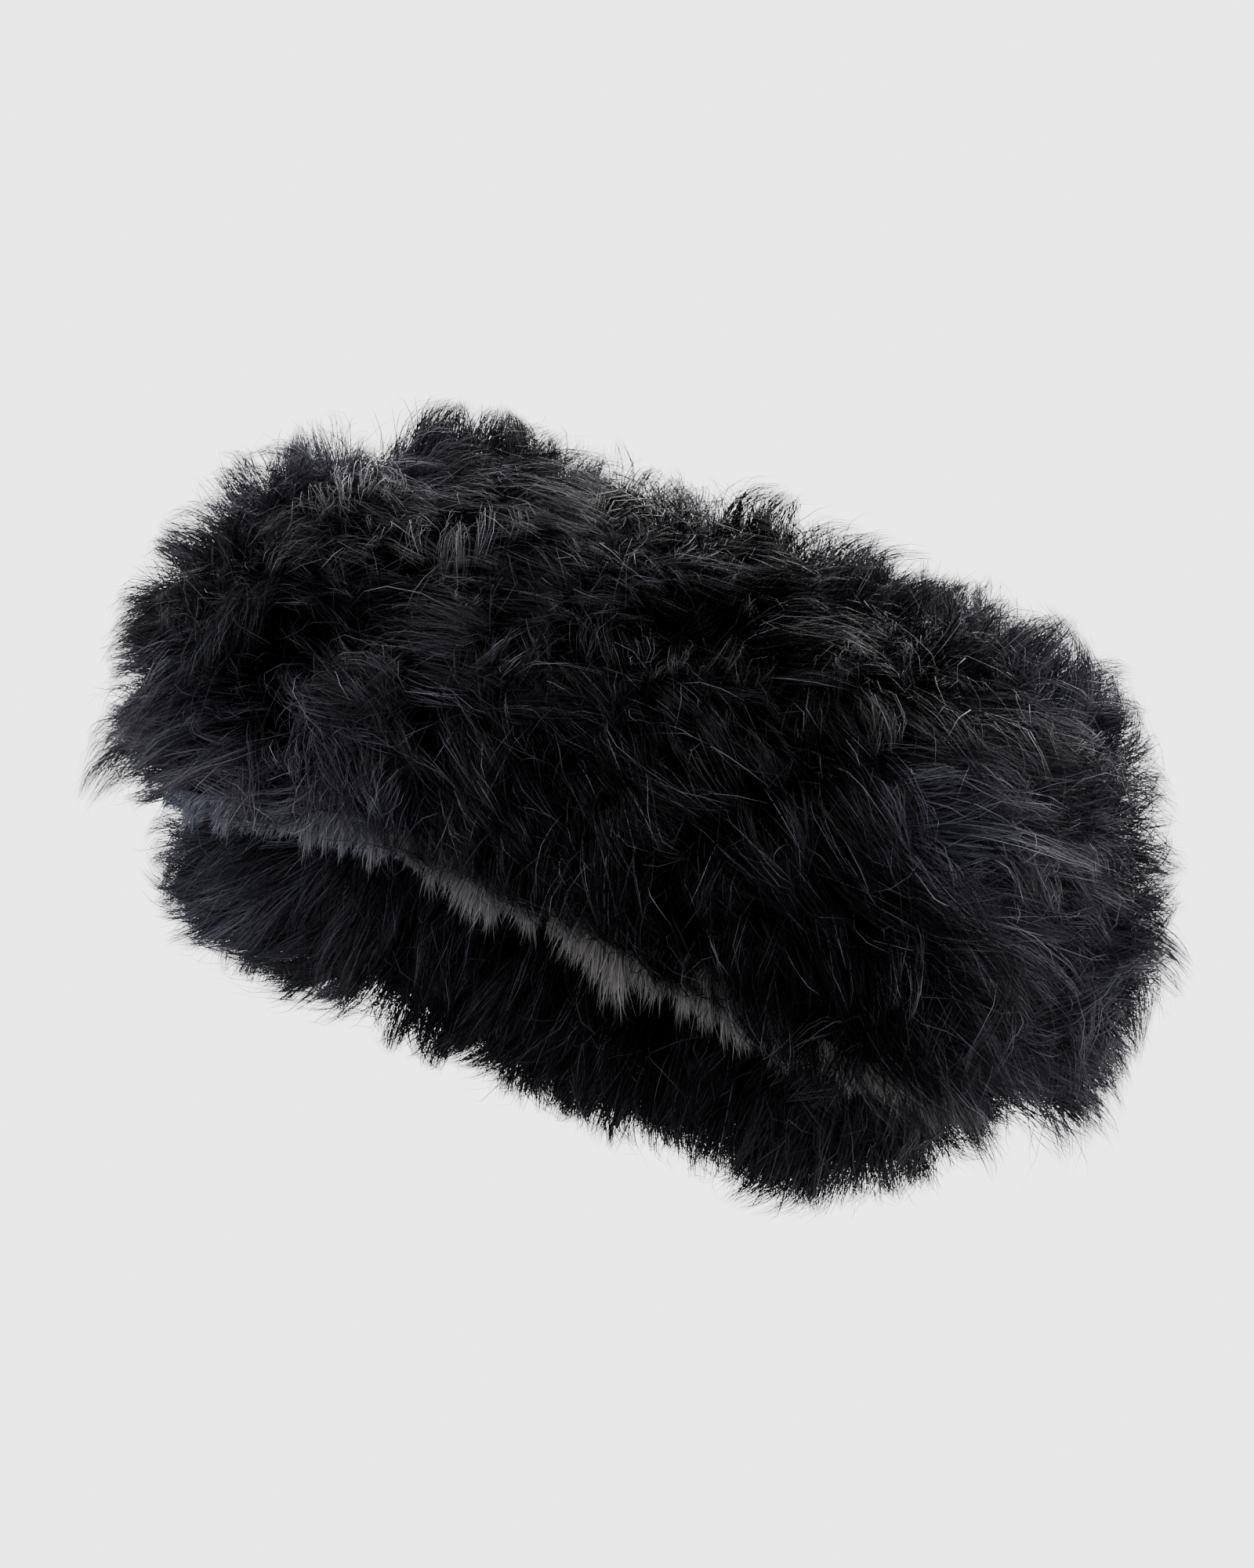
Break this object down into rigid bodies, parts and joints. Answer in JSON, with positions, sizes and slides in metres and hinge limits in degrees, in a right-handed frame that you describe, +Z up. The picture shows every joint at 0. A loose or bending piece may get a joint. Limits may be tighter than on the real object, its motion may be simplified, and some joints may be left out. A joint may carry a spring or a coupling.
{
  "type": "furry windscreen",
  "caption": "Long-pile fur wind cover with rounded ends, a foam and mesh liner and an elastic mouth slit along its front, hinged at the back seam.",
  "frame": {"origin": "middle of the bottom of the bounding box, under the lower half", "axes": "+X along the length to the right end, -Y out through the mouth, +Z up"},
  "size_m": [0.28, 0.156, 0.153],
  "materials": {
    "long_pile_fur": "long matted acrylic pile, near black",
    "open_cell_foam": "open-cell reticulated foam, charcoal",
    "mesh_lining": "knitted mesh, black",
    "woven_elastic": "woven elastic band, grey",
    "binding_tape": "brushed binding tape, grey",
    "thread": "polyester sewing thread, black",
    "stretch_knit": "ribbed stretch knit, black",
    "satin_label": "woven satin tab, blank"
  },
  "bodies": {
    "lower_half": {"lower_left_end_fur": "long_pile_fur", "lower_centre_fur": "long_pile_fur", "lower_right_end_fur": "long_pile_fur", "lower_foam_liner": "open_cell_foam", "lower_lining": "mesh_lining", "lower_hem_elastic": "woven_elastic", "lower_hem_binding": "binding_tape", "lower_hem_stitching": "thread", "back_seam_roll": "binding_tape", "back_seam_stitching": "thread", "left_mouth_gusset": "stretch_knit", "right_mouth_gusset": "stretch_knit", "blank_label": "satin_label"},
    "upper_half": {"upper_left_end_fur": "long_pile_fur", "upper_centre_fur": "long_pile_fur", "upper_right_end_fur": "long_pile_fur", "upper_foam_liner": "open_cell_foam", "upper_lining": "mesh_lining", "upper_hem_elastic": "woven_elastic", "upper_hem_binding": "binding_tape", "upper_hem_stitching": "thread"}
  },
  "joints": [
    {"name": "mouth_opening", "type": "hinge", "parent": "lower_half", "child": "upper_half", "pos_m": [0, 0.045, 0.049], "axis": [-1, 0, 0], "range_deg": [0, 30], "stiffness_Nm_per_rad": 0.2, "deforming": ["left_mouth_gusset", "right_mouth_gusset"]}
  ]
}
